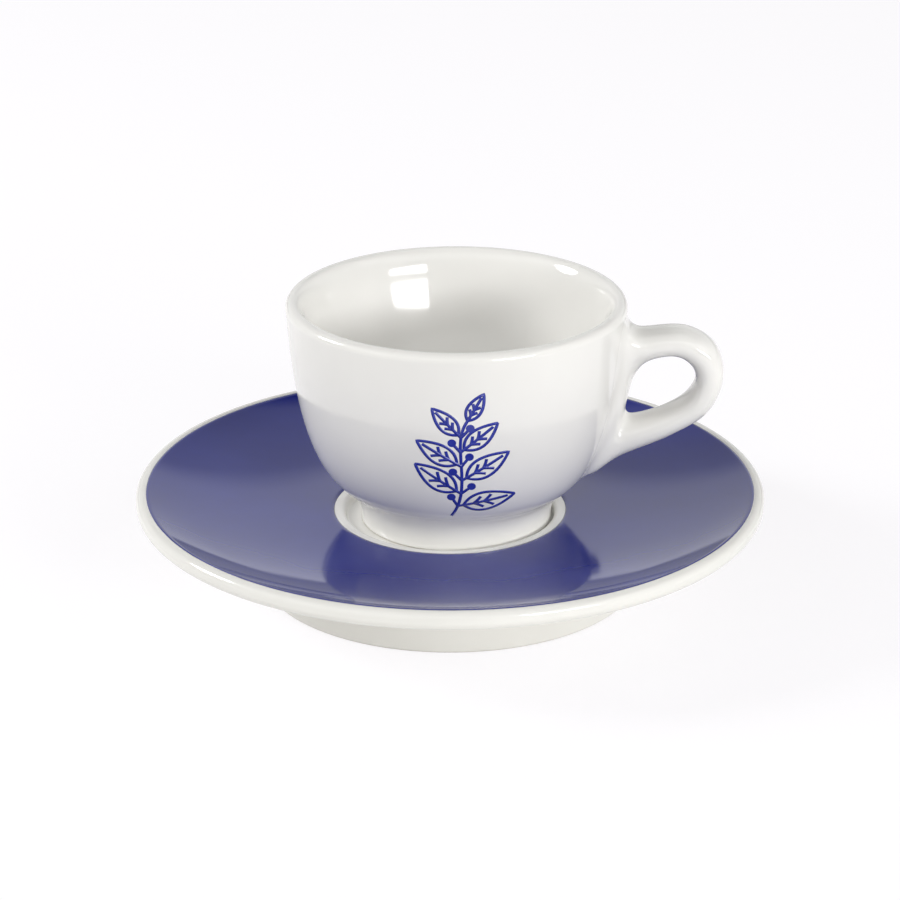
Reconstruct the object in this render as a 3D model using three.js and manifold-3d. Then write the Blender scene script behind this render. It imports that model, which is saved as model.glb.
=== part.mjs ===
// Espresso cup in the well of its saucer: thick glazed porcelain, with a coloured glaze on the saucer.
// Millimetres, +Z up. The origin is the middle of the saucer's foot, on the table.
import * as THREE from "three";
import { mergeVertices } from "three/addons/utils/BufferGeometryUtils.js";
import Module from "manifold-3d";

// Saucer
const SAUCER_RADIUS = 60;
const SAUCER_FOOT_RADIUS = 36.3;
const SAUCER_FOOT_WIDTH = 3.6;
const SAUCER_FOOT_DRAFT = 8; // degrees from upright, outside of the foot
const SAUCER_COVE = 2.5; // rounding where the foot runs into the underside
const SAUCER_FLOOR = 4; // thickness under the well
const UNDERSIDE_SLOPE = 14.5; // degrees from level
const DISH_RISE = 5.1; // from the lip of the well to the outer edge of the colour
const RIM_FLAT = 0.5; // upright stretch of the rim's edge
const RIM_UNDER_RADIUS = 1.7;

// Well that the cup stands in
const WELL_FLOOR_HEIGHT = 12.2;
const WELL_DEPTH = 1.5;
const WELL_RADIUS = 19.7;
const WELL_WALL_RUN = 0.5; // how far the wall leans back from floor to lip
const WELL_LIP_ROUND = 0.8;

// Coloured glaze on the saucer's face
const WELL_MARGIN = 1.8; // white ring left round the well
const RIM_MARGIN = 1.8; // white ring left at the saucer's edge
const BAND_THICKNESS = 0.4;
const BAND_GAP = 0.1;

// Cup
const CUP_HEIGHT = 44.1;
const RIM_RADIUS = 32.05;
const LIP_RADIUS = 1.5; // round on the outside of the lip
const LIP_ROLL = 4.7; // depth over which the lip rolls down into the cup
const LIP_WIDTH = 4.05; // inwards from the rim to the end of that roll
const WALL_LEAN = 5.4; // degrees that the wall leans out at the rim
const WALL_PULL = 4.77; // length over which the upper wall stays nearly straight
const BOWL_ANGLE = 34; // degrees from level, where the bowl leaves the foot
const BOWL_PULL = 15.14; // length over which the low bowl stays nearly conical
const CUP_FLOOR = 5.6; // thickness inside the foot
const INNER_LEAN = 12.8; // degrees that the inside leans out below the lip
const INNER_WALL_PULL = 7;
const INNER_FLOOR_PULL = 19.5;

// Foot of the cup
const FOOT_RADIUS = 18.2;
const FOOT_WIDTH = 3.9;
const FOOT_HEIGHT = 5.45; // up to the corner that the cove under the bowl rounds off
const FOOT_RECESS = 2.2;
const RECESS_SLANT = 1.1; // how far the recess narrows towards the cup's floor
const FOOT_EDGE = 0.5; // bevel on the rings that the saucer and the cup stand on
const NECK_COVE = 4.5; // length of the bowl that hollows into the foot
const FOOT_CLEARANCE = 0.3; // between the cup's foot and the wall of the well

// Handle: a loop beside the bowl, oval in section, that spreads into a fillet at the wall
const HANDLE_REACH = 18.25; // out from the rim to the loop's furthest point
const HANDLE_DROP = 34.4; // down from the rim to the loop's lowest point
const HANDLE_WIDTH = 9;
const HANDLE_FILLET = 4.5;
const HANDLE_TURN = -3; // degrees about the cup's axis
const HANDLE_GAP = 0.3; // slip joint to the wall
const SECTION_POWER = 2.3; // 2 would be an ellipse

// Stations round the loop, on its outer edge and its finger hole: [share of the reach, of the drop]
const HANDLE_STATIONS = [
  { edge: [0.155, 0.16], hole: [0.238, 0.331] }, // saddle beside the bowl
  { edge: [0.597, 0.148], hole: [0.503, 0.305] }, // crest
  { edge: [0.906, 0.244], hole: [0.674, 0.366] },
  { edge: [1, 0.427], hole: [0.702, 0.456] }, // furthest reach
  { edge: [0.851, 0.625], hole: [0.591, 0.549] },
  { edge: [0.459, 0.767], hole: [0.381, 0.619] }, // lower arm
  { edge: [-0.044, 0.89], hole: [0.127, 0.663] },
  { edge: [-0.409, 1], hole: [0.006, 0.645] }, // lower root, inside the wall
  { edge: [-0.287, 0.648], hole: [0.028, 0.532] }, // web along the wall
  { edge: [-0.2, 0.172], hole: [0.094, 0.416] },
];

// Facets
const TURN_STEPS = 60;
const CURVE_STEP = 5;
const CURVE_LEAST_STEPS = 4;
const LOOP_STEPS = 60;
const SECTION_STEPS = 24;
const WALL_SAMPLES = 200;
const SAME_POINT = 1e-6;

const wasm = await Module();
wasm.setup();
const { abs, asin, cos, max, PI, sign, sin, sqrt, tan } = Math;
const radians = THREE.MathUtils.degToRad;

// Points along a profile: straight stretches keep their ends, and curves are divided by length.
function profilePoints(path) {
  const points = [path.curves[0].getPoint(0)];
  for (const curve of path.curves) {
    const byLength = Math.ceil(curve.getLength() / CURVE_STEP);
    const steps = curve.isLineCurve ? 1 : max(CURVE_LEAST_STEPS, byLength);
    for (let i = 1; i <= steps; i++) {
      const point = curve.getPoint(i / steps);
      if (point.distanceTo(points.at(-1)) > SAME_POINT) points.push(point);
    }
  }
  return points;
}

// A profile of (radius, height) turned about the upright axis.
function turned(points) {
  return new THREE.LatheGeometry(points, TURN_STEPS).rotateX(PI / 2);
}

function solidOf(geometry) {
  const bare = geometry.clone();
  bare.deleteAttribute("normal");
  bare.deleteAttribute("uv");
  const merged = mergeVertices(bare);
  const vertProperties = merged.attributes.position.array;
  const triVerts = new Uint32Array(merged.index.array);
  return new wasm.Manifold(new wasm.Mesh({ numProp: 3, vertProperties, triVerts }));
}

function geometryOf(solid) {
  const { vertProperties, triVerts } = solid.getMesh();
  const geometry = new THREE.BufferGeometry();
  geometry.setAttribute("position", new THREE.BufferAttribute(vertProperties, 3));
  geometry.setIndex(new THREE.BufferAttribute(triVerts, 1));
  geometry.computeVertexNormals();
  return geometry;
}

function piece(name, geometry, look) {
  const mesh = new THREE.Mesh(geometry, new THREE.MeshStandardMaterial(look));
  mesh.name = name;
  return mesh;
}

// Dish of the saucer: one arc, level at the lip of the well and steepest at the rim.
const lipHeight = WELL_FLOOR_HEIGHT + WELL_DEPTH;
const wellTop = WELL_RADIUS + WELL_WALL_RUN;
const bandInner = wellTop + WELL_MARGIN;
const bandOuter = SAUCER_RADIUS - RIM_MARGIN;
const dishRun = bandOuter - bandInner;
const dishRadius = (dishRun ** 2 + DISH_RISE ** 2) / (2 * DISH_RISE);
const dishCentre = lipHeight + dishRadius;
const dishSlope = asin(dishRun / dishRadius);

// That arc at a depth below the face, from one angle past its lowest point to another.
function dishArc(path, depth, from, to) {
  const lowest = -PI / 2;
  path.absarc(bandInner, dishCentre, dishRadius + depth, lowest + from, lowest + to, from > to);
}

function saucerProfile() {
  const ceiling = WELL_FLOOR_HEIGHT - SAUCER_FLOOR;
  const footInner = SAUCER_FOOT_RADIUS - SAUCER_FOOT_WIDTH;
  const draft = radians(SAUCER_FOOT_DRAFT);
  const slope = radians(UNDERSIDE_SLOPE);

  // Rim: a small round above, an upright stretch, and a larger round below.
  const rimRadius = RIM_MARGIN / (1 + sin(dishSlope));
  const rimTop = lipHeight + DISH_RISE - rimRadius * cos(dishSlope);
  const rimLow = rimTop - RIM_FLAT;
  const lowCentre = SAUCER_RADIUS - RIM_UNDER_RADIUS;
  const underRadius = lowCentre + RIM_UNDER_RADIUS * sin(slope);
  const underHeight = rimLow - RIM_UNDER_RADIUS * cos(slope);

  // Corner where the outside of the foot would meet the underside.
  const drop = (underRadius - SAUCER_FOOT_RADIUS) * tan(slope);
  const cornerHeight = (underHeight - drop) / (1 - tan(draft) * tan(slope));
  const cornerRadius = SAUCER_FOOT_RADIUS + cornerHeight * tan(draft);

  const path = new THREE.Path();
  path.moveTo(0, ceiling);
  path.lineTo(footInner - SAUCER_COVE, ceiling);
  path.quadraticCurveTo(footInner, ceiling, footInner, ceiling - SAUCER_COVE);
  path.lineTo(footInner, FOOT_EDGE);
  path.lineTo(footInner + FOOT_EDGE, 0);
  path.lineTo(SAUCER_FOOT_RADIUS - FOOT_EDGE, 0);
  path.lineTo(SAUCER_FOOT_RADIUS + FOOT_EDGE * tan(draft), FOOT_EDGE);
  path.lineTo(cornerRadius - SAUCER_COVE * sin(draft), cornerHeight - SAUCER_COVE * cos(draft));
  path.quadraticCurveTo(
    cornerRadius,
    cornerHeight,
    cornerRadius + SAUCER_COVE * cos(slope),
    cornerHeight + SAUCER_COVE * sin(slope),
  );
  path.absarc(lowCentre, rimLow, RIM_UNDER_RADIUS, slope - PI / 2, 0, false);
  path.absarc(SAUCER_RADIUS - rimRadius, rimTop, rimRadius, 0, PI / 2 + dishSlope, false);

  // Step that the coloured glaze lies in, then the lip and the well.
  dishArc(path, BAND_THICKNESS + BAND_GAP, dishSlope, 0);
  path.lineTo(bandInner, lipHeight);
  path.lineTo(wellTop + WELL_LIP_ROUND, lipHeight);
  path.quadraticCurveTo(wellTop, lipHeight, wellTop, lipHeight - WELL_LIP_ROUND);
  path.lineTo(WELL_RADIUS, WELL_FLOOR_HEIGHT);
  path.lineTo(0, WELL_FLOOR_HEIGHT);
  return path;
}

// Coat of coloured glaze, flush with the rim and the lip, with a gap to the step all round.
function bandProfile() {
  const inset = BAND_GAP / dishRadius;
  const path = new THREE.Path();
  dishArc(path, BAND_THICKNESS, inset, dishSlope - inset);
  dishArc(path, 0, dishSlope - inset, inset);
  path.closePath();
  return path;
}

// Outer wall of the bowl, from just above the neck to where the lip begins to turn over.
const neckAngle = radians(BOWL_ANGLE);
const lean = radians(WALL_LEAN);
const lipCentre = new THREE.Vector2(RIM_RADIUS - LIP_RADIUS, CUP_HEIGHT - LIP_RADIUS);
const wallOutward = new THREE.Vector2(cos(lean), -sin(lean));
const lipOuter = lipCentre.clone().addScaledVector(wallOutward, LIP_RADIUS);
const lowDirection = new THREE.Vector2(cos(neckAngle), sin(neckAngle));
const wallDirection = new THREE.Vector2(sin(lean), cos(lean));
const neck = new THREE.Vector2(FOOT_RADIUS, FOOT_HEIGHT);
const bowlStart = neck.clone().addScaledVector(lowDirection, NECK_COVE);
const bowlWall = new THREE.CubicBezierCurve(
  bowlStart,
  neck.clone().addScaledVector(lowDirection, BOWL_PULL),
  lipOuter.clone().addScaledVector(wallDirection, -WALL_PULL),
  lipOuter,
);

function cupProfile() {
  const footInner = FOOT_RADIUS - FOOT_WIDTH;
  const floor = FOOT_RECESS + CUP_FLOOR;
  const path = new THREE.Path();
  path.moveTo(0, FOOT_RECESS);
  path.lineTo(footInner - RECESS_SLANT, FOOT_RECESS);
  path.lineTo(footInner, FOOT_EDGE);
  path.lineTo(footInner + FOOT_EDGE, 0);
  path.lineTo(FOOT_RADIUS - FOOT_EDGE, 0);
  path.lineTo(FOOT_RADIUS, FOOT_EDGE);
  path.quadraticCurveTo(neck.x, neck.y, bowlStart.x, bowlStart.y);
  path.curves.push(bowlWall);
  path.currentPoint.copy(lipOuter);
  path.absarc(lipCentre.x, lipCentre.y, LIP_RADIUS, -lean, PI / 2, false);

  // Inside: the lip rolls over, and the wall thickens as it goes down and rounds into the floor.
  const innerLean = radians(INNER_LEAN);
  const innerRadius = RIM_RADIUS - LIP_WIDTH;
  const innerHeight = CUP_HEIGHT - LIP_ROLL;
  path.quadraticCurveTo(innerRadius + LIP_ROLL * tan(innerLean), CUP_HEIGHT, innerRadius, innerHeight);
  path.bezierCurveTo(
    innerRadius - INNER_WALL_PULL * sin(innerLean),
    innerHeight - INNER_WALL_PULL * cos(innerLean),
    INNER_FLOOR_PULL,
    floor,
    0,
    floor,
  );
  return path;
}

// Radius of the bowl's outer wall at a height above the cup's foot.
const wallSamples = bowlWall.getPoints(WALL_SAMPLES);
function wallRadius(height) {
  const above = wallSamples.findIndex((point) => point.y >= height);
  if (above === 0) return wallSamples[0].x;
  if (above < 0) return RIM_RADIUS;
  const low = wallSamples[above - 1];
  const high = wallSamples[above];
  return low.x + ((high.x - low.x) * (height - low.y)) / (high.y - low.y);
}

// Closed curve through one edge of the handle's stations, in (radius, height).
function stationCurve(edge) {
  const points = HANDLE_STATIONS.map((station) => {
    const [out, down] = station[edge];
    return new THREE.Vector3(RIM_RADIUS + out * HANDLE_REACH, CUP_HEIGHT - down * HANDLE_DROP, 0);
  });
  return new THREE.CatmullRomCurve3(points, true, "catmullrom");
}

// Half width of the handle at a distance from the wall: even, then spreading in a round fillet.
function halfWidth(distance) {
  const short = max(0, HANDLE_FILLET - max(HANDLE_GAP, distance));
  return HANDLE_WIDTH / 2 + HANDLE_FILLET - sqrt(HANDLE_FILLET ** 2 - short ** 2);
}

function handleLoop() {
  const outer = stationCurve("edge");
  const inner = stationCurve("hole");
  const positions = [];
  const index = [];
  for (let i = 0; i < LOOP_STEPS; i++) {
    const edge = outer.getPoint(i / LOOP_STEPS);
    const hole = inner.getPoint(i / LOOP_STEPS);
    const nextStation = ((i + 1) % LOOP_STEPS) * SECTION_STEPS;
    for (let j = 0; j < SECTION_STEPS; j++) {
      const turn = (2 * PI * j) / SECTION_STEPS;
      const across = -cos(turn);
      const { x: radius, y: height } = hole.clone().lerp(edge, (1 + across) / 2);
      const fullness = max(0, 1 - abs(across) ** SECTION_POWER) ** (1 / SECTION_POWER);
      const side = sign(sin(turn)) * fullness * halfWidth(radius - wallRadius(height));
      positions.push(sqrt(radius ** 2 - side ** 2), side, height);

      const here = i * SECTION_STEPS;
      const nextSide = (j + 1) % SECTION_STEPS;
      index.push(here + j, here + nextSide, nextStation + j);
      index.push(here + nextSide, nextStation + nextSide, nextStation + j);
    }
  }
  const geometry = new THREE.BufferGeometry();
  geometry.setAttribute("position", new THREE.Float32BufferAttribute(positions, 3));
  geometry.setIndex(index);
  return geometry;
}

// The bowl's outside grown by the slip joint, as a plug that trims the handle's roots.
function rootCutter() {
  const points = [new THREE.Vector2(0, 0), new THREE.Vector2(FOOT_RADIUS, 0)];
  for (let i = 0; i <= TURN_STEPS; i++) {
    const t = i / TURN_STEPS;
    const along = bowlWall.getTangent(t);
    const outward = new THREE.Vector2(along.y, -along.x);
    points.push(bowlWall.getPoint(t).addScaledVector(outward, HANDLE_GAP));
  }
  points.push(new THREE.Vector2(0, lipOuter.y));
  return turned(points);
}

const porcelain = { color: 0xf1efe8, roughness: 0.12, metalness: 0 };
const blueGlaze = { color: 0x2a2d7c, roughness: 0.08, metalness: 0 };

const saucer = piece("saucer", turned(profilePoints(saucerProfile())), porcelain);
const band = piece("saucer_colour_band", turned(profilePoints(bandProfile())), blueGlaze);
const bowl = piece("cup_bowl", turned(profilePoints(cupProfile())), porcelain);
const trimmedLoop = solidOf(handleLoop()).subtract(solidOf(rootCutter()));
const handle = piece("cup_handle", geometryOf(trimmedLoop), porcelain);

// The cup stands in the well, slid along +X until its foot is a clearance short of the well's wall.
const cup = new THREE.Group();
cup.add(bowl, handle);
cup.rotation.z = radians(HANDLE_TURN);
cup.position.set(WELL_RADIUS - FOOT_RADIUS - FOOT_CLEARANCE, 0, WELL_FLOOR_HEIGHT);

const cupAndSaucer = new THREE.Group();
cupAndSaucer.add(saucer, band, cup);

export default cupAndSaucer;
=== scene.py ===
import math

import bmesh
import bpy
import numpy as np
from mathutils import Matrix, Vector
from mathutils.bvhtree import BVHTree


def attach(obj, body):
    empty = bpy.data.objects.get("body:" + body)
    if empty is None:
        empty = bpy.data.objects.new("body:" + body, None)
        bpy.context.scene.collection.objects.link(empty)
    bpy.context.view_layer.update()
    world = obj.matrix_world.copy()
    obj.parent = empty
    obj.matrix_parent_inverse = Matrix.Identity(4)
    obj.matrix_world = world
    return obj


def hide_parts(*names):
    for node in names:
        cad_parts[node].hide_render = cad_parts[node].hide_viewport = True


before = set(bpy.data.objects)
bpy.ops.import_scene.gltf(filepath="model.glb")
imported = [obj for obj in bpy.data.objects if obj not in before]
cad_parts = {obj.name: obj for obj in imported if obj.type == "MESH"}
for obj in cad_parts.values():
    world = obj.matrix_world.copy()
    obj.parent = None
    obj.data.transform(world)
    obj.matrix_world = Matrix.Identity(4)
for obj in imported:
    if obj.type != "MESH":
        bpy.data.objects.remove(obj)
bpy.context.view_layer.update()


# Saucer: a pressed disc of thick porcelain with a foot ring, a rolled rim and a well for the cup.
# It is dipped in clear glaze and fired; only the ring that stood on the kiln shelf stays bare and matt.
# Sizes are in millimetres, slopes in degrees, and clouds, grains and ripples are counted to a metre.
MM = 0.001
SAUCER_RADIUS = 60.0
SAUCER_FOOT_RADIUS = 36.3
SAUCER_FOOT_WIDTH = 3.6
SAUCER_CEILING = 8.2
FOOT_ROUND = 0.6
FOOT_CORNER = (37.65, 9.85)
FOOT_COVE = 2.5
UNDERSIDE_SLOPE = 14.5
RIM_UNDER_RADIUS = 1.7
RIM_FLAT = 0.5
DISH_START = 22.0
DISH_BEND = 50.0
BEND_SLOPE = 11.6
DISH_END = 58.2
DISH_RISE = 5.1
WELL_FLOOR = 12.2
WELL_LIP = 13.7
WELL_RADIUS = 19.7
WELL_TOP_RADIUS = 20.2
WELL_FLOOR_ROUND = 0.35
WELL_LIP_ROUND = 0.9
RING_SPACING = 0.9
SAME_POINT = 1e-6
STEPS_ROUND = 192
WELD_DISTANCE = 0.002

SAUCER_WHITES = [(0.3, (0.79, 0.782, 0.74)), (0.7, (0.82, 0.812, 0.773))]
BISCUIT_SHADES = [(0.35, (0.58, 0.55, 0.49)), (0.65, (0.72, 0.69, 0.63))]
CLAY_CLOUDS = 45
BISCUIT_GRAINS = 2600
BISCUIT_ROUGHNESS = 0.7
BARE_HEIGHT = 0.15
BARE_FADE = 0.25
GLAZE_IOR = 1.52
GLAZE_ROUGHNESS = (0.05, 0.1)
GLAZE_POOLS = (0.35, 0.65)
RIPPLES = 320
RIPPLE_STRENGTH = 0.05
RIPPLE_DEPTH = 0.05


def arc(centre, radius, start, end, steps=18):
    """Points (radius, height) on a circle, from one angle in degrees to another."""
    turns = [math.radians(start + (end - start) * i / steps) for i in range(steps + 1)]
    return [(centre[0] + radius * math.cos(t), centre[1] + radius * math.sin(t)) for t in turns]


def bezier(a, b, c, d, steps=40):
    """Points on a cubic curve from a to d, pulled towards b and c."""
    points = []
    for i in range(steps + 1):
        t = i / steps
        k = ((1 - t) ** 3, 3 * t * (1 - t) ** 2, 3 * t * t * (1 - t), t ** 3)
        points.append(tuple(sum(w * p[n] for w, p in zip(k, (a, b, c, d))) for n in (0, 1)))
    return points


def corner(before, at, after, reach, reach_after=None, steps=8):
    """Points of a rounded corner that starts and ends at a reach from its tip."""
    tip = Vector(at)
    start = tip + (Vector(before) - tip).normalized() * reach
    end = tip + (Vector(after) - tip).normalized() * (reach_after or reach)
    pull = 2 / 3
    return bezier(start, start.lerp(tip, pull), end.lerp(tip, pull), end, steps)


def evened(points):
    """The same outline with rings added along its long stretches."""
    out = [points[0]]
    for a, b in zip(points, points[1:]):
        length = math.dist(a, b)
        if length < SAME_POINT:
            continue
        cuts = max(1, math.ceil(length / RING_SPACING))
        out += [tuple(Vector(a).lerp(Vector(b), i / cuts)) for i in range(1, cuts + 1)]
    return out


def feed(tree, node, inputs):
    """Link each input of a node to another node's output, or set it to a plain value."""
    for socket, value in inputs.items():
        if isinstance(value, bpy.types.NodeSocket):
            tree.links.new(value, node.inputs[socket])
        else:
            node.inputs[socket].default_value = value


def add(tree, kind, inputs=None, **settings):
    """The outputs of a new node, with its settings made first and its inputs fed after."""
    node = tree.nodes.new(kind)
    for name, value in settings.items():
        setattr(node, name, value)
    feed(tree, node, inputs or {})
    return node.outputs


def shaping_tree(name, sockets, result):
    """An empty tree of geometry nodes with its named inputs and one output."""
    tree = bpy.data.node_groups.new(name, "GeometryNodeTree")
    for socket, kind in sockets.items():
        tree.interface.new_socket(socket, in_out="INPUT", socket_type="NodeSocket" + kind)
    tree.interface.new_socket(result, in_out="OUTPUT", socket_type="NodeSocketGeometry")
    return tree


def wheel_tree():
    """Geometry nodes that turn an outline about an upright axis, as a jigger wheel shapes clay."""
    sockets = {"Outline": "Geometry", "Steps round": "Int", "Axis foot": "Vector", "Glaze": "Material"}
    tree = shaping_tree("turned on the wheel", sockets, "Turned")
    given = add(tree, "NodeGroupInput")

    # A circle of one metre carries the outline, set back by that metre so that radii count from the axis.
    circle = add(tree, "GeometryNodeCurvePrimitiveCircle", {
        "Radius": 1.0, "Resolution": given["Steps round"],
    })["Curve"]
    outline = add(tree, "GeometryNodeTransform", {
        "Geometry": given["Outline"], "Translation": (-1, 0, 0), "Rotation": (math.pi / 2, 0, 0),
    })["Geometry"]
    swept = add(tree, "GeometryNodeCurveToMesh", {"Curve": circle, "Profile Curve": outline})["Mesh"]

    # The points that meet on the axis become one, and the piece moves to its place.
    welded = add(tree, "GeometryNodeMergeByDistance", {
        "Geometry": swept, "Distance": WELD_DISTANCE * MM,
    })["Geometry"]
    placed = add(tree, "GeometryNodeTransform", {
        "Geometry": welded, "Translation": given["Axis foot"],
    })["Geometry"]
    smooth = add(tree, "GeometryNodeSetShadeSmooth", {"Geometry": placed})["Geometry"]
    real = add(tree, "GeometryNodeRealizeInstances", {"Geometry": smooth})["Geometry"]
    glazed = add(tree, "GeometryNodeSetMaterial", {"Geometry": real, "Material": given["Glaze"]})
    add(tree, "NodeGroupOutput", {"Turned": glazed["Geometry"]})
    return tree


def drawn(name, outlines, closed=False):
    """A curve object through points given in metres."""
    curve = bpy.data.curves.new(name, "CURVE")
    curve.dimensions = "3D"
    for points in outlines:
        spline = curve.splines.new("POLY")
        spline.points.add(len(points) - 1)
        for knot, point in zip(spline.points, points):
            knot.co = (*point, 1)
        spline.use_cyclic_u = closed
    piece = bpy.data.objects.new(name, curve)
    bpy.context.scene.collection.objects.link(piece)
    return piece


def grown(name, source, tree, inputs):
    """The plain mesh that a node tree makes from a source object."""
    nodes = source.modifiers.new("shape", "NODES")
    nodes.node_group = tree
    for socket in tree.interface.items_tree:
        if socket.in_out == "INPUT" and socket.name in inputs:
            nodes[socket.identifier] = inputs[socket.name]
    bpy.context.view_layer.update()
    made = source.evaluated_get(bpy.context.evaluated_depsgraph_get())
    mesh = bpy.data.meshes.new_from_object(made)
    mesh.name = name
    bpy.data.objects.remove(source)
    piece = bpy.data.objects.new(name, mesh)
    bpy.context.scene.collection.objects.link(piece)
    return piece


WHEEL = wheel_tree()


def turned(name, outline, glaze, axis=(0, 0, 0), closed=False):
    """A piece turned from an outline of (radius, height) in millimetres."""
    points = [(r * MM, 0, h * MM) for r, h in evened(outline)]
    if closed:
        points.pop()
    source = drawn(name + "_outline", [points], closed)
    sizes = {"Steps round": STEPS_ROUND, "Axis foot": axis, "Glaze": glaze}
    return grown(name, source, WHEEL, sizes)


def fired_finish(name):
    """A material with a glaze's gloss: the material, its nodes, its surface and the piece's coordinates."""
    material = bpy.data.materials.new(name)
    material.use_nodes = True
    tree = material.node_tree
    surface = tree.nodes["Principled BSDF"]
    feed(tree, surface, {"IOR": GLAZE_IOR})
    return material, tree, surface, add(tree, "ShaderNodeTexCoord")["Object"]


def noise(tree, place, scale, detail=2):
    """Soft random clouds, about scale of them to a metre, in as many finer layers as detail says."""
    return add(tree, "ShaderNodeTexNoise", {"Vector": place, "Scale": scale, "Detail": detail})["Fac"]


def shades(tree, value, stops):
    """A colour read off a row of stops, each a value and the colour there."""
    ramp = tree.nodes.new("ShaderNodeValToRGB")
    for _ in stops[2:]:
        ramp.color_ramp.elements.new(1.0)
    for stop, (at, colour) in zip(ramp.color_ramp.elements, stops):
        stop.position = at
        stop.color = (*colour, 1)
    feed(tree, ramp, {"Fac": value})
    return ramp.outputs["Color"]


def blend(tree, share, first, second, kind="RGBA"):
    """The first colour or value where the share is 0, the second where it is 1."""
    inputs = {"Factor": share, "A": first, "B": second}
    return add(tree, "ShaderNodeMix", inputs, data_type=kind)["Result"]


def pooled(tree, cloud, roughness):
    """Roughness that varies a little where the glaze pooled."""
    return add(tree, "ShaderNodeMapRange", {
        "Value": cloud, "From Min": GLAZE_POOLS[0], "From Max": GLAZE_POOLS[1],
        "To Min": roughness[0], "To Max": roughness[1],
    })["Result"]


def rippled(tree, place, detail):
    """The faint ripple that a dipped glaze keeps."""
    return add(tree, "ShaderNodeBump", {
        "Height": noise(tree, place, RIPPLES, detail),
        "Strength": RIPPLE_STRENGTH, "Distance": RIPPLE_DEPTH * MM,
    })["Normal"]


def porcelain(name, bare_below, whites):
    """White porcelain under clear glaze, bare where the piece stood on the kiln shelf."""
    material, tree, surface, place = fired_finish(name)

    # Clay body shows faintly through the glaze as a broad, cloudy change of white.
    cloud = noise(tree, place, CLAY_CLOUDS, detail=3)
    white = shades(tree, cloud, whites)

    # Bare biscuit, without gloss, on the underside of the foot ring.
    height = add(tree, "ShaderNodeSeparateXYZ", {"Vector": place})["Z"]
    bare = add(tree, "ShaderNodeMapRange", {
        "Value": height, "From Min": bare_below * MM, "From Max": (bare_below + BARE_FADE) * MM,
        "To Min": 1, "To Max": 0,
    })["Result"]
    biscuit = shades(tree, noise(tree, place, BISCUIT_GRAINS), BISCUIT_SHADES)
    gloss = pooled(tree, cloud, GLAZE_ROUGHNESS)
    feed(tree, surface, {
        "Base Color": blend(tree, bare, white, biscuit),
        "Roughness": blend(tree, bare, gloss, BISCUIT_ROUGHNESS, kind="FLOAT"),
        "Normal": rippled(tree, place, detail=1),
    })
    return material


# The dish rises in a wide arc and turns up faster towards the rim.
bend_slope = math.radians(BEND_SLOPE)
dish_radius = (DISH_BEND - DISH_START) / math.sin(bend_slope)
dish_centre = (DISH_START, WELL_LIP + dish_radius)
brim_rise = DISH_RISE - dish_radius * (1 - math.cos(bend_slope))
dish_slope = 2 * math.atan2(brim_rise, DISH_END - DISH_BEND) - bend_slope
brim_radius = (DISH_END - DISH_BEND) / (math.sin(dish_slope) - math.sin(bend_slope))
brim_centre = (
    DISH_END - brim_radius * math.sin(dish_slope),
    WELL_LIP + DISH_RISE + brim_radius * math.cos(dish_slope),
)
rim_radius = (SAUCER_RADIUS - DISH_END) / (1 + math.sin(dish_slope))
rim_top = WELL_LIP + DISH_RISE - rim_radius * math.cos(dish_slope)
rim_low = rim_top - RIM_FLAT
dish_turn = math.degrees(dish_slope)


def dish_face(lift=0, inset=0):
    """The dish's outline from well to rim, lifted off its face, with an inset at both ends."""
    first = math.degrees(inset / dish_radius) - 90
    last = dish_turn - math.degrees(inset / brim_radius) - 90
    wide = arc(dish_centre, dish_radius - lift, first, BEND_SLOPE - 90, steps=40)
    return wide + arc(brim_centre, brim_radius - lift, BEND_SLOPE - 90, last, steps=16)[1:]


well_middle = (0, WELL_FLOOR)
well_corner = (WELL_RADIUS, WELL_FLOOR)
lip_corner = (WELL_TOP_RADIUS, WELL_LIP)
rim_middle = (SAUCER_RADIUS - rim_radius, rim_top)
under_middle = (SAUCER_RADIUS - RIM_UNDER_RADIUS, rim_low)
saucer_outline = [well_middle]
saucer_outline += corner(well_middle, well_corner, lip_corner, WELL_FLOOR_ROUND)
saucer_outline += corner(well_corner, lip_corner, (DISH_START, WELL_LIP), WELL_LIP_ROUND)
saucer_outline += dish_face()
saucer_outline += arc(rim_middle, rim_radius, 90 + dish_turn, 0)
saucer_outline += arc(under_middle, RIM_UNDER_RADIUS, 0, UNDERSIDE_SLOPE - 90)
under_rim = saucer_outline[-1]
foot_inner = SAUCER_FOOT_RADIUS - SAUCER_FOOT_WIDTH
foot_tip = (SAUCER_FOOT_RADIUS, 0)
foot_heel = (foot_inner, 0)
ceiling_corner = (foot_inner, SAUCER_CEILING)
ceiling_middle = (0, SAUCER_CEILING)
saucer_outline += corner(under_rim, FOOT_CORNER, foot_tip, FOOT_COVE)
saucer_outline += corner(FOOT_CORNER, foot_tip, foot_heel, FOOT_ROUND)
saucer_outline += corner(foot_tip, foot_heel, ceiling_corner, FOOT_ROUND)
saucer_outline += corner(foot_heel, ceiling_corner, ceiling_middle, FOOT_COVE)
saucer_outline += [ceiling_middle]

saucer_glaze = porcelain("saucer_porcelain", BARE_HEIGHT, SAUCER_WHITES)
saucer = turned("saucer_dish", saucer_outline, saucer_glaze)
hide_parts("saucer")
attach(saucer, "saucer")


# Blue coat on the saucer's face: a coloured glaze laid on a spinning wheel between the well and the rim.
# It is a tenth of a millimetre thick and thins out to a soft step at both edges.
COAT_THICKNESS = 0.12
COAT_FADE = 0.5
COAT_SEAT = 0.06
COAT_CLOUDS = 60
COAT_BLUES = [(0.3, (0.012, 0.019, 0.195)), (0.7, (0.016, 0.025, 0.222))]
COAT_EDGE_BLUE = (0.035, 0.040, 0.20, 1)
COAT_ROUGHNESS = (0.04, 0.08)


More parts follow.
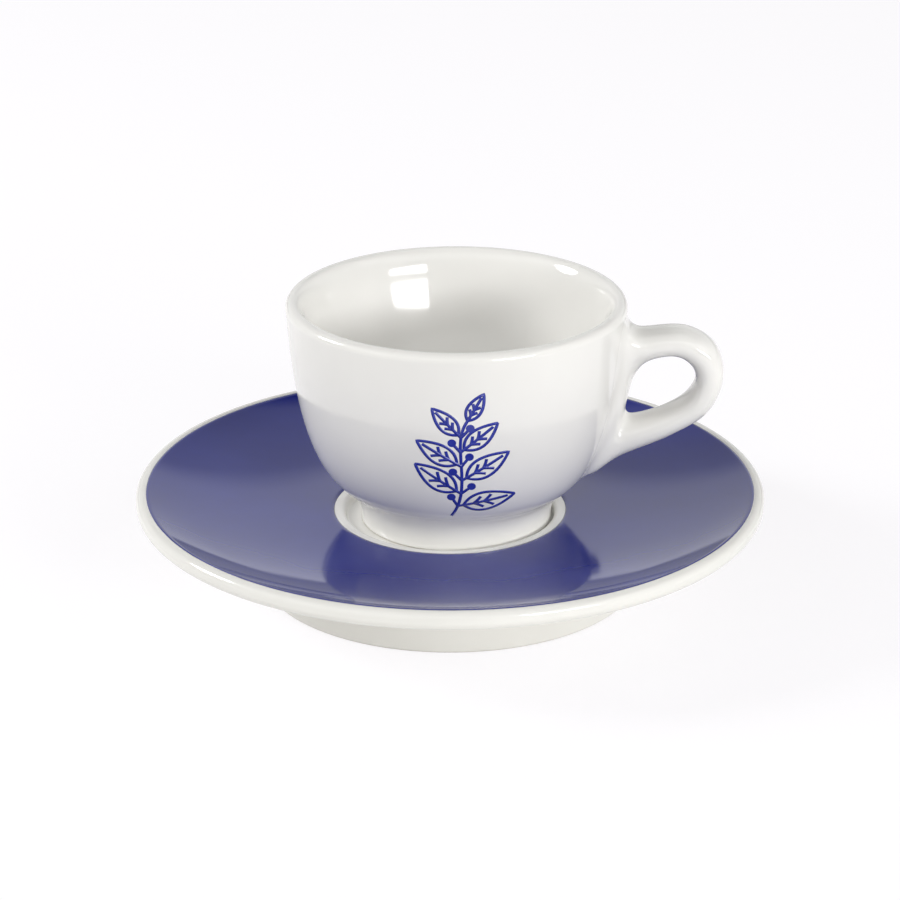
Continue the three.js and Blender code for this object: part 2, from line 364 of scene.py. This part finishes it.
def blue_glaze():
    """Royal blue glaze that breaks paler where it thins at its two edges."""
    material, tree, surface, place = fired_finish("royal_blue_glaze")
    cloud = noise(tree, place, COAT_CLOUDS, detail=4)
    blue = shades(tree, cloud, COAT_BLUES)

    # Distance from the middle of the band, measured out from the saucer's axis, to find the two edges.
    middle = (DISH_START + DISH_END) / 2
    half_width = (DISH_END - DISH_START) / 2
    flat = add(tree, "ShaderNodeVectorMath", {0: place, 1: (1, 1, 0)}, operation="MULTIPLY")["Vector"]
    out = add(tree, "ShaderNodeVectorMath", {0: flat}, operation="LENGTH")["Value"]
    past = add(tree, "ShaderNodeMath", {0: out, 1: middle * MM}, operation="SUBTRACT")["Value"]
    off = add(tree, "ShaderNodeMath", {0: past}, operation="ABSOLUTE")["Value"]
    thin = add(tree, "ShaderNodeMapRange", {
        "Value": off, "From Min": (half_width - COAT_FADE) * MM, "From Max": half_width * MM,
    })["Result"]
    feed(tree, surface, {
        "Base Color": blend(tree, thin, blue, COAT_EDGE_BLUE),
        "Roughness": pooled(tree, cloud, COAT_ROUGHNESS),
        "Normal": rippled(tree, place, detail=2),
    })
    return material


coat_face = dish_face(COAT_THICKNESS, COAT_FADE)
coat_seat = dish_face(-COAT_SEAT)[::-1]
coat_outline = [coat_seat[-1]] + coat_face + coat_seat
coat = turned("saucer_blue_coat", coat_outline, blue_glaze(), closed=True)
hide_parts("saucer_colour_band")
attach(coat, "saucer")


# Cup bowl: porcelain shaped on a wheel, with a rounded lip, a full belly and a low foot ring.
# It stands in the saucer's well, pushed towards the handle's side until its foot nearly meets the wall.
CUP_OFFSET = 1.2
CUP_HEIGHT = 44.1
RIM_RADIUS = 32.05
LIP_RADIUS = 1.5
LIP_ROLL = 4.7
LIP_WIDTH = 4.05
LIP_PULL = 2 / 3
WALL_LEAN = 5.4
WALL_PULL = 4.77
BOWL_ANGLE = 34.0
BOWL_PULL = 15.14
CUP_FLOOR = 7.8
INNER_LEAN = 12.8
INNER_WALL_PULL = 7.0
INNER_FLOOR_PULL = 19.5
CUP_FOOT_RADIUS = 18.2
CUP_FOOT_WIDTH = 3.9
CUP_FOOT_HEIGHT = 5.45
CUP_FOOT_EDGE = 0.5
CUP_NECK_COVE = 4.5
CUP_RECESS = 2.2
CUP_RECESS_TAPER = 1.1
CUP_RECESS_ROUND = 0.8
CUP_WHITES = [(0.3, (0.80, 0.79, 0.757)), (0.7, (0.83, 0.82, 0.79))]

cup_axis = Vector((CUP_OFFSET, 0, WELL_FLOOR)) * MM
lean = math.radians(WALL_LEAN)
rise = math.radians(BOWL_ANGLE)
inner_lean = math.radians(INNER_LEAN)
up_wall = Vector((math.sin(lean), math.cos(lean)))
up_bowl = Vector((math.cos(rise), math.sin(rise)))
up_inside = Vector((math.sin(inner_lean), math.cos(inner_lean)))

# The lip is rounded outside and rolls down into the cup; below it the wall thickens towards the floor.
lip_centre = (RIM_RADIUS - LIP_RADIUS, CUP_HEIGHT - LIP_RADIUS)
crest = Vector((lip_centre[0], CUP_HEIGHT))
lip_inner = Vector((RIM_RADIUS - LIP_WIDTH, CUP_HEIGHT - LIP_ROLL))
roll_tip = lip_inner + up_inside * LIP_ROLL / up_inside.y
roll_start = lip_inner.lerp(roll_tip, LIP_PULL)
roll_end = crest.lerp(roll_tip, LIP_PULL)
roll = bezier(lip_inner, roll_start, roll_end, crest, steps=20)
lip = arc(lip_centre, LIP_RADIUS, 90, -WALL_LEAN)
lip_outer = Vector(lip[-1])

# Outside, the wall swings in to a cove at the neck of the foot ring; the ring is hollow underneath.
neck = Vector((CUP_FOOT_RADIUS, CUP_FOOT_HEIGHT))
bowl_start = neck + up_bowl * CUP_NECK_COVE
wall_pull = lip_outer - up_wall * WALL_PULL
bowl_pull = neck + up_bowl * BOWL_PULL
outer_wall = bezier(lip_outer, wall_pull, bowl_pull, bowl_start, steps=60)
cup_toe = (CUP_FOOT_RADIUS, 0)
cove = corner(bowl_start, neck, cup_toe, CUP_NECK_COVE, CUP_FOOT_HEIGHT - CUP_FOOT_EDGE, steps=24)
cup_heel = (CUP_FOOT_RADIUS - CUP_FOOT_WIDTH, 0)
recess_corner = (cup_heel[0] - CUP_RECESS_TAPER, CUP_RECESS)
recess_middle = (0, CUP_RECESS)

inner_pull = lip_inner - up_inside * INNER_WALL_PULL
cup_outline = bezier((0, CUP_FLOOR), (INNER_FLOOR_PULL, CUP_FLOOR), inner_pull, lip_inner, steps=70)
cup_outline += roll + lip + outer_wall + cove
cup_outline += corner(neck, cup_toe, cup_heel, CUP_FOOT_EDGE)
cup_outline += corner(cup_toe, cup_heel, recess_corner, CUP_FOOT_EDGE)
cup_outline += corner(cup_heel, recess_corner, recess_middle, CUP_RECESS_ROUND)
cup_outline += [recess_middle]

cup_glaze = porcelain("cup_porcelain", WELL_FLOOR + BARE_HEIGHT, CUP_WHITES)
bowl = turned("cup_bowl_body", cup_outline, cup_glaze, cup_axis)
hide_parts("cup_bowl")
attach(bowl, "cup")


# Handle: a loop of clay cast by itself and stuck to the bowl with slip, then glazed and fired with it.
# It is oval in section and dips to a saddle beside the rim; its roots are sponged into round fillets.
# The loop's stations are shares of its reach out from the rim and of its drop below the rim.
HANDLE_WIDTH = 9.0
HANDLE_TURN = -3.0
HANDLE_REACH = 18.25
HANDLE_DROP = 34.4
SECTION_POWER = 2.3
LOOP_STEPS = 160
SECTION_STEPS = 48
SIDE_FILLET = 6.5
TOP_FILLET = 3.0
ROOT_SINK = 0.05
ROOT_DEPTH = 0.4
SKIN_STEP = 0.35
SKIN_FROM = (18.0, 6.0)
SKIN_TO = (51.6, 42.5)
SPONGE_PASSES = 4
SPONGE_FACTOR = 0.5
LOOP_EDGE = [
    (0.155, 0.160), (0.597, 0.148), (0.906, 0.244), (1.000, 0.427), (0.851, 0.625),
    (0.459, 0.767), (-0.044, 0.890), (-0.409, 1.000), (-0.287, 0.648), (-0.200, 0.172),
]
FINGER_HOLE = [
    (0.238, 0.331), (0.503, 0.305), (0.674, 0.366), (0.702, 0.456), (0.591, 0.549),
    (0.381, 0.619), (0.127, 0.663), (0.006, 0.645), (0.028, 0.532), (0.094, 0.416),
]


def on_loop(stations, t):
    """Point (radius, height) on a smooth closed curve through the stations; t goes from 0 to 1."""
    count = len(stations)
    span, s = divmod(t * count, 1)
    a, b, c, d = (Vector(stations[(int(span) + n) % count]) for n in (-1, 0, 1, 2))
    bend = 2 * a - 5 * b + 4 * c - d
    swing = 3 * b - a - 3 * c + d
    share = 0.5 * (2 * b + (c - a) * s + bend * s ** 2 + swing * s ** 3)
    return Vector((RIM_RADIUS + share.x * HANDLE_REACH, CUP_HEIGHT - share.y * HANDLE_DROP))


def cast_loop():
    """The loop as it leaves its mould, before it is stuck on: points and faces."""
    points, faces = [], []
    for i in range(LOOP_STEPS):
        edge, hole = on_loop(LOOP_EDGE, i / LOOP_STEPS), on_loop(FINGER_HOLE, i / LOOP_STEPS)
        for j in range(SECTION_STEPS):
            angle = 2 * math.pi * j / SECTION_STEPS
            across = -math.cos(angle)
            radius, height = hole.lerp(edge, (1 + across) / 2)
            fullness = max(0.0, 1 - abs(across) ** SECTION_POWER) ** (1 / SECTION_POWER)
            points.append((radius, math.copysign(fullness * HANDLE_WIDTH / 2, math.sin(angle)), height))
            here, there = i * SECTION_STEPS, (i + 1) % LOOP_STEPS * SECTION_STEPS
            side = (j + 1) % SECTION_STEPS
            faces.append((here + j, here + side, there + side, there + j))
    return points, faces


def distance_to_loop(places):
    """Signed distance from the loop's surface, below zero inside it."""
    surface = BVHTree.FromPolygons(*cast_loop())
    found = []
    for place in places:
        nearest, normal, _, gap = surface.find_nearest(place)
        found.append(gap if normal.dot(Vector(place) - nearest) > 0 else -gap)
    return np.array(found)


def distance_to_wall(places):
    """Signed distance from the outside of the bowl, below zero inside it."""
    wall = np.array(outer_wall + cove[1:])[::-1]
    radius = np.hypot(places[:, 0], places[:, 1])
    lean_here = np.gradient(wall[:, 0], wall[:, 1])
    upright = 1 / np.hypot(1, np.interp(places[:, 2], wall[:, 1], lean_here))
    return (radius - np.interp(places[:, 2], wall[:, 1], wall[:, 0])) * upright


def skinned(field, start, step):
    """Points and faces of the surface where a field on a grid is zero: one point to a cell it crosses."""
    shape = np.array(field.shape) - 1

    def at_cell_corner(shift):
        return field[tuple(slice(k, k + n) for k, n in zip(shift, shape))]

    # Each cell's point is the middle of the crossings on the cell's edges.
    total, count = np.zeros((*shape, 3)), np.zeros(shape)
    for a in (np.array(shift) for shift in np.ndindex(2, 2, 2)):
        for axis in range(3):
            if a[axis]:
                continue
            b = a + np.eye(3, dtype=int)[axis]
            low, high = at_cell_corner(a), at_cell_corner(b)
            crossed = (low < 0) != (high < 0)
            share = np.where(crossed, low / np.where(crossed, low - high, 1), 0)
            total += crossed[..., None] * a + share[..., None] * (b - a)
            count += crossed
    used = count > 0
    number = np.where(used, np.cumsum(used).reshape(shape) - 1, -1)
    points = (np.argwhere(used) + total[used] / count[used][:, None]) * step + start

    # The four cells round each edge that is crossed share a face, turned to look outwards.
    faces = []
    for axis in range(3):
        u, v = (axis + 1) % 3, (axis + 2) % 3
        low = np.moveaxis(field, (axis, u, v), (0, 1, 2))
        cells = np.moveaxis(number, (axis, u, v), (0, 1, 2))
        for i, j, k in np.argwhere((low[:-1, 1:-1, 1:-1] < 0) != (low[1:, 1:-1, 1:-1] < 0)):
            face = [cells[i, j, k], cells[i, j + 1, k], cells[i, j + 1, k + 1], cells[i, j, k + 1]]
            faces.append(face if low[i, j + 1, k + 1] < 0 else face[::-1])
    return points, faces


# The loop and the wall run into each other through a fillet that is wide at the sides and tight on top.
half_span = math.ceil((HANDLE_WIDTH / 2 + SIDE_FILLET) / SKIN_STEP) * SKIN_STEP
spans = [(SKIN_FROM[0], SKIN_TO[0]), (-half_span, half_span + SKIN_STEP), (SKIN_FROM[1], SKIN_TO[1])]
axes = [np.arange(first, last, SKIN_STEP) for first, last in spans]
grid = np.stack(np.meshgrid(*axes, indexing="ij"), -1).reshape(-1, 3)
loop_gap, wall_gap = distance_to_loop(grid), distance_to_wall(grid)
sideways = np.clip(np.abs(grid[:, 1]) / (HANDLE_WIDTH / 2), 0, 1) ** 2
fillet = TOP_FILLET + (SIDE_FILLET - TOP_FILLET) * sideways
sunk_gap = wall_gap + ROOT_SINK
overlap = np.clip(fillet - np.abs(loop_gap - sunk_gap), 0, None)
blended = np.minimum(loop_gap, sunk_gap) - overlap ** 3 / (6 * fillet ** 2)
field = np.maximum.reduce([blended, -sunk_gap - ROOT_DEPTH, loop_gap - fillet])
grid_start = np.array([axis[0] for axis in axes])
points, faces = skinned(field.reshape([len(axis) for axis in axes]), grid_start, SKIN_STEP)

mesh = bpy.data.meshes.new("cup_handle_loop")
mesh.from_pydata([Vector(p) for p in points], [], faces)
clay = bmesh.new()
clay.from_mesh(mesh)
all_ways = {"use_axis_x": True, "use_axis_y": True, "use_axis_z": True}
for _ in range(SPONGE_PASSES):
    bmesh.ops.smooth_vert(clay, verts=clay.verts, factor=SPONGE_FACTOR, **all_ways)
bmesh.ops.recalc_face_normals(clay, faces=clay.faces)
clay.to_mesh(mesh)
clay.free()
handle_turn = Matrix.Rotation(math.radians(HANDLE_TURN), 4, "Z")
mesh.transform(Matrix.Translation(cup_axis) @ handle_turn @ Matrix.Scale(MM, 4))
mesh.shade_smooth()
mesh.materials.append(cup_glaze)
handle = bpy.data.objects.new("cup_handle_loop", mesh)
bpy.context.scene.collection.objects.link(handle)
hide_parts("cup_handle")
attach(handle, "cup")


# Print on the bowl's front: a line drawing of a coffee sprig, put on as a transfer and fired onto the glaze.
# The blue film is a few hundredths of a millimetre thick and bends with the bowl.
SPRIG_MIDDLE = (2.15, 0, 35.4)
SPRIG_STEM = [(-1.9, -13.2), (2.2, -6.0), (-2.0, 3.0), (0.7, 7.6)]
SPRIG_LEAVES = 7
FIRST_LEAF = 0.14
LAST_LEAF = 0.99
LOW_LEAF_LENGTH = 10.6
TOP_LEAF_LENGTH = 6.6
LOW_LEAF_SPREAD = 62
TOP_LEAF_SPREAD = 46
STALK_LENGTH = 2.2
STALK_LEAN = 0.72
BERRY_REACH = 2.5
BERRY_RADIUS = 0.8
BERRY_SIDES = 32
BERRY_LIFT = 0.02
STROKE_WIDTH = 0.58
STROKE_STEP = 0.3
STROKE_LAYERS = 9
STROKE_LIFT = 0.002
STEM_FULLNESS = 1.3
FILM_THICKNESS = 0.03
FILM_LIFT = 0.4
STAND_OFF = 100.0
INK_GRAINS = 700
INK_BLUES = [(0.3, (0.019, 0.030, 0.280)), (0.7, (0.028, 0.042, 0.340))]
INK_ROUGHNESS = (0.10, 0.22)


def leaf_lines():
    """Outline, midrib and side veins of a leaf one unit long, with its stalk at the origin."""
    upper = bezier((0.1, 0), (0.3, 0.29), (0.62, 0.25), (1, 0), steps=28)
    lower = [(x, -y) for x, y in reversed(upper)]
    lines = [upper + lower[1:], bezier((0, 0), (0.3, 0), (0.6, 0), (0.88, 0), steps=12)]
    for at in (0.28, 0.46):
        for side in (1, -1):
            near, far, end = (at + 0.06, side * 0.04), (at + 0.11, side * 0.08), (at + 0.15, side * 0.125)
            lines.append(bezier((at, 0), near, far, end, steps=4))
    return lines


def sprig_tree():
    """Geometry nodes that grow leaves and berries along a stem and lay the drawing on the bowl."""
    tree = shaping_tree("sprig on the bowl", {
        "Stem": "Geometry", "Leaf": "Object", "Bowl": "Object", "Leaves": "Int", "First leaf": "Float",
        "Low leaf": "Float", "Top leaf": "Float", "Low spread": "Float", "Top spread": "Float",
        "Stalk": "Float", "Berry reach": "Float", "Berry": "Float", "Stroke": "Float", "Film": "Float",
        "Middle": "Vector", "Ink": "Material",
    }, "Drawing")
    given = add(tree, "NodeGroupInput")

    def make(kind, inputs=None, **settings):
        return add(tree, "GeometryNode" + kind, inputs, **settings)

    def reckon(operation, a, b):
        return add(tree, "ShaderNodeMath", {0: a, 1: b}, operation=operation)["Value"]

    def between(share, low, high):
        return add(tree, "ShaderNodeMapRange", {"Value": share, "To Min": low, "To Max": high})["Result"]

    def vector(**ends):
        return add(tree, "ShaderNodeCombineXYZ", ends)["Vector"]

    def combined(operation, inputs):
        return add(tree, "ShaderNodeVectorMath", inputs, operation=operation)["Vector"]

    def turned_to(angle):
        return add(tree, "FunctionNodeEulerToRotation", {"Euler": vector(Z=angle)})["Rotation"]

    def moved(geometry, **place):
        return make("SetPosition", {"Geometry": geometry, **place})["Geometry"]

    def repeated(points, piece, **inputs):
        copies = make("InstanceOnPoints", {"Points": points, "Instance": piece, **inputs})["Instances"]
        return make("RealizeInstances", {"Geometry": copies})["Geometry"]

    def joined(*pieces):
        node = tree.nodes.new("GeometryNodeJoinGeometry")
        for piece in pieces:
            tree.links.new(piece, node.inputs[0])
        return node.outputs[0]

    # Leaves stand left and right by turns, shorter and closer towards the tip, which carries the last.
    leafy = make("TrimCurve", {"Curve": given["Stem"], "Start": given["First leaf"], "End": 1.0})["Curve"]
    knots = make("CurveToPoints", {"Curve": leafy, "Count": given["Leaves"]}, mode="COUNT")
    number = make("InputIndex")["Index"]
    share = reckon("DIVIDE", number, reckon("SUBTRACT", given["Leaves"], 1.0))
    below_tip = reckon("LESS_THAN", share, LAST_LEAF)
    by_turns = reckon("SUBTRACT", reckon("MULTIPLY", reckon("MODULO", number, 2.0), 2.0), 1.0)
    side = reckon("MULTIPLY", by_turns, below_tip)
    tangent = add(tree, "ShaderNodeSeparateXYZ", {"Vector": knots["Tangent"]})
    heading = reckon("ARCTAN2", tangent["Y"], tangent["X"])
    spread = reckon("MULTIPLY", side, between(share, given["Low spread"], given["Top spread"]))
    length = between(reckon("MULTIPLY", share, share), given["Low leaf"], given["Top leaf"])
    leaf = make("ObjectInfo", {"Object": given["Leaf"]})["Geometry"]
    leaf_turn = turned_to(reckon("ADD", heading, spread))
    leaves = repeated(knots["Points"], leaf, Rotation=leaf_turn, Scale=length)

    # Stalks stand on the free side of the stem, between the leaves there.
    aside = turned_to(reckon("SUBTRACT", heading, reckon("MULTIPLY", spread, STALK_LEAN)))
    stalk = make("CurvePrimitiveLine", {"Start": (0, 0, 0), "End": vector(X=given["Stalk"])})["Curve"]
    stalks = repeated(knots["Points"], stalk, Selection=below_tip, Rotation=aside)

    # Lines: every curve becomes a flat ribbon; each lies a hair higher than the one before where they cross.
    full_stem = make("SetCurveRadius", {"Curve": given["Stem"], "Radius": STEM_FULLNESS})["Curve"]
    lines = joined(full_stem, leaves, stalks)
    even = make("ResampleCurve", {"Curve": lines, "Length": STROKE_STEP * MM}, mode="LENGTH")["Curve"]
    line_number = make("FieldOnDomain", {0: number}, domain="CURVE", data_type="INT")["Value"]
    layer = reckon("MULTIPLY", reckon("MODULO", line_number, STROKE_LAYERS), STROKE_LIFT * MM)
    layered = moved(even, Offset=vector(Z=layer))
    nib = make("CurvePrimitiveQuadrilateral", {"Width": given["Stroke"], "Height": given["Film"]})["Curve"]
    ribbons = make("CurveToMesh", {"Curve": layered, "Profile Curve": nib, "Fill Caps": True})["Mesh"]

    # Berries: a solid round at the end of each stalk.
    stalk_end = vector(X=given["Berry reach"], Z=BERRY_LIFT * MM)
    away = add(tree, "FunctionNodeRotateVector", {"Vector": stalk_end, "Rotation": aside})["Vector"]
    spots = moved(knots["Points"], Offset=away)
    berry = make("MeshCylinder", {
        "Vertices": BERRY_SIDES, "Radius": given["Berry"], "Depth": given["Film"],
    })["Mesh"]
    drawing = joined(ribbons, repeated(spots, berry, Selection=below_tip))

    # Lay the flat drawing on the bowl from the front, its thickness along the bowl's own normal.
    flat = add(tree, "ShaderNodeSeparateXYZ", {"Vector": make("InputPosition")["Position"]})
    in_front = vector(X=flat["X"], Y=-STAND_OFF * MM, Z=flat["Y"])
    hit = make("Raycast", {
        "Target Geometry": make("ObjectInfo", {"Object": given["Bowl"]})["Geometry"],
        "Source Position": combined("ADD", {0: in_front, 1: given["Middle"]}),
        "Ray Direction": (0, 1, 0), "Ray Length": 2 * STAND_OFF * MM,
    })
    proud = reckon("ADD", flat["Z"], reckon("MULTIPLY", given["Film"], FILM_LIFT))
    lift = combined("SCALE", {0: hit["Hit Normal"], "Scale": proud})
    laid = moved(drawing, Position=combined("ADD", {0: hit["Hit Position"], 1: lift}))
    real = make("RealizeInstances", {"Geometry": laid})["Geometry"]
    inked = make("SetMaterial", {"Geometry": real, "Material": given["Ink"]})["Geometry"]
    add(tree, "NodeGroupOutput", {"Drawing": inked})
    return tree


def print_ink():
    """Royal blue ceramic ink, a little uneven, sunk into the glaze."""
    material, tree, surface, place = fired_finish("royal_blue_ink")
    grain = noise(tree, place, INK_GRAINS, detail=3)
    gloss = add(tree, "ShaderNodeMapRange", {
        "Value": grain, "To Min": INK_ROUGHNESS[0], "To Max": INK_ROUGHNESS[1],
    })["Result"]
    feed(tree, surface, {"Base Color": shades(tree, grain, INK_BLUES), "Roughness": gloss})
    return material


leaf_drawing = drawn("leaf_lines", [[(x, y, 0) for x, y in line] for line in leaf_lines()])
stem_line = [(x * MM, y * MM, 0) for x, y in bezier(*SPRIG_STEM, steps=60)]
sprig = grown("cup_print", drawn("sprig_stem", [stem_line]), sprig_tree(), {
    "Leaf": leaf_drawing, "Bowl": bowl, "Leaves": SPRIG_LEAVES, "First leaf": FIRST_LEAF,
    "Low leaf": LOW_LEAF_LENGTH * MM, "Top leaf": TOP_LEAF_LENGTH * MM,
    "Low spread": math.radians(LOW_LEAF_SPREAD), "Top spread": math.radians(TOP_LEAF_SPREAD),
    "Stalk": STALK_LENGTH * MM, "Berry reach": BERRY_REACH * MM, "Berry": BERRY_RADIUS * MM,
    "Stroke": STROKE_WIDTH * MM, "Film": FILM_THICKNESS * MM,
    "Middle": Vector(SPRIG_MIDDLE) * MM, "Ink": print_ink(),
})
bpy.data.objects.remove(leaf_drawing)
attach(sprig, "cup")


# Table: one wide, flat sheet of matt white card that the saucer stands on, its size in metres.
# It is lit to a plain white for the eye and for reflections, and keeps the soft shadow of the saucer.
CARD_SIZE = 6.0
CARD_FIBRES = 900
CARD_WHITES = [(0, (0.88, 0.87, 0.86)), (1, (0.90, 0.89, 0.88))]
CARD_SHADOW_GREY = (0.30, 0.30, 0.31, 1)
CARD_GLOW_WHITE = (1.0, 0.985, 1.0, 1)
CARD_GLOW = 0.75


def white_card():
    """Matt white card, lit to a plain white behind the object."""
    material = bpy.data.materials.new("white_card")
    material.use_nodes = True
    tree = material.node_tree
    tree.nodes.clear()
    place = add(tree, "ShaderNodeTexCoord")["Object"]
    fibre = noise(tree, place, CARD_FIBRES)
    card = add(tree, "ShaderNodeBsdfDiffuse", {"Color": shades(tree, fibre, CARD_WHITES)})["BSDF"]

    # What is seen of it, straight or in a mirror, glows and takes shadows only in part.
    grey = add(tree, "ShaderNodeBsdfDiffuse", {"Color": CARD_SHADOW_GREY})["BSDF"]
    glow = add(tree, "ShaderNodeEmission", {"Color": CARD_GLOW_WHITE, "Strength": CARD_GLOW})["Emission"]
    bright = add(tree, "ShaderNodeAddShader", {0: grey, 1: glow})["Shader"]
    rays = add(tree, "ShaderNodeLightPath")
    seen = rays["Is Camera Ray"]
    for ray in ("Is Glossy Ray", "Is Transmission Ray"):
        seen = add(tree, "ShaderNodeMath", {0: seen, 1: rays[ray]}, operation="MAXIMUM")["Value"]
    both = add(tree, "ShaderNodeMixShader", {"Fac": seen, 1: card, 2: bright})["Shader"]
    add(tree, "ShaderNodeOutputMaterial", {"Surface": both})
    return material


half_card = CARD_SIZE / 2
card_corners = [(x * half_card, y * half_card, 0) for x, y in ((-1, -1), (1, -1), (1, 1), (-1, 1))]
mesh = bpy.data.meshes.new("table_card")
mesh.from_pydata(card_corners, [], [(0, 1, 2, 3)])
mesh.materials.append(white_card())
table = bpy.data.objects.new("table_card", mesh)
bpy.context.scene.collection.objects.link(table)


# Studio: a long soft box low on the right, a round one on the left and a weak one overhead.
# White walls stand behind and in front, dimmer where they near the table; above them the room is dark.
# A wall is a list of heights, as the sine of the angle above the table, with the brightness there.
WALL_BEHIND = [
    (0.09, 0.52), (0.12, 0.42), (0.135, 1.22), (0.19, 1.10), (0.28, 1.0), (0.42, 1.0), (0.47, 0.60),
    (0.70, 0.56), (0.76, 0.0),
]
WALL_IN_FRONT = [
    (0.08, 0.0), (0.12, 0.32), (0.22, 0.45), (0.40, 0.62), (0.46, 1.50), (0.68, 1.48), (0.76, 0.0),
]
WALL_JOIN = 0.2
ROOM_WHITE = (1, 1, 1, 1)
CUP_MIDDLE = (0, 0, 0.035)

world = bpy.data.worlds.new("white_room")
bpy.context.scene.world = world
world.use_nodes = True
tree = world.node_tree
way = add(tree, "ShaderNodeSeparateXYZ", {"Vector": add(tree, "ShaderNodeTexCoord")["Generated"]})
behind = add(tree, "ShaderNodeMapRange", {
    "Value": way["Y"], "From Min": -WALL_JOIN, "From Max": WALL_JOIN,
})["Result"]
wall_in_front, wall_behind = (
    shades(tree, way["Z"], [(height, (level, level, level)) for height, level in wall])
    for wall in (WALL_IN_FRONT, WALL_BEHIND)
)
walls = blend(tree, behind, wall_in_front, wall_behind)
seen = add(tree, "ShaderNodeLightPath")["Is Camera Ray"]
feed(tree, tree.nodes["Background"], {"Color": blend(tree, seen, walls, ROOM_WHITE)})


def soft_box(name, at, size, watts, shape="RECTANGLE", aim=CUP_MIDDLE, roll=0):
    """A soft box aimed at a point, in metres, rolled about its aim by degrees."""
    light = bpy.data.lights.new(name, "AREA")
    light.shape = shape
    light.size, light.size_y = size
    light.energy = watts
    lamp = bpy.data.objects.new(name, light)
    lamp.location = at
    lamp.rotation_euler = (Vector(aim) - Vector(at)).to_track_quat("-Z", "Y").to_euler()
    lamp.rotation_euler.rotate_axis("Z", math.radians(roll))
    bpy.context.scene.collection.objects.link(lamp)


soft_box(
    "right_box", at=(0.612, -0.697, 0.236), size=(0.634, 0.111), watts=5.6,
    aim=(0.642, 0, 0.236), roll=2.9,
)
soft_box("left_dish", at=(-0.903, 0.079, 0.458), size=(0.35, 0.35), watts=4.5, shape="ELLIPSE")
soft_box("top_box", at=(0, -0.096, 1.131), size=(0.9, 0.9), watts=1.2)


# Camera: a short telephoto about 0.6 m away, looking down by 22 degrees.
# Its place and lens were fitted to the ellipses of the saucer and the cup.
CAMERA_PLACE = (0, -0.540, 0.2422)
CAMERA_TILT = 68.136
CAMERA_LENS = 121.98
CAMERA_SENSOR = 36
CAMERA_REACH = 20

camera = bpy.data.cameras.new("product_camera")
camera.lens = CAMERA_LENS
camera.sensor_width = CAMERA_SENSOR
camera.clip_end = CAMERA_REACH
eye = bpy.data.objects.new("product_camera", camera)
eye.location = CAMERA_PLACE
eye.rotation_euler = (math.radians(CAMERA_TILT), 0, 0)
bpy.context.scene.collection.objects.link(eye)
bpy.context.scene.camera = eye
bpy.context.scene.view_settings.view_transform = "Standard"
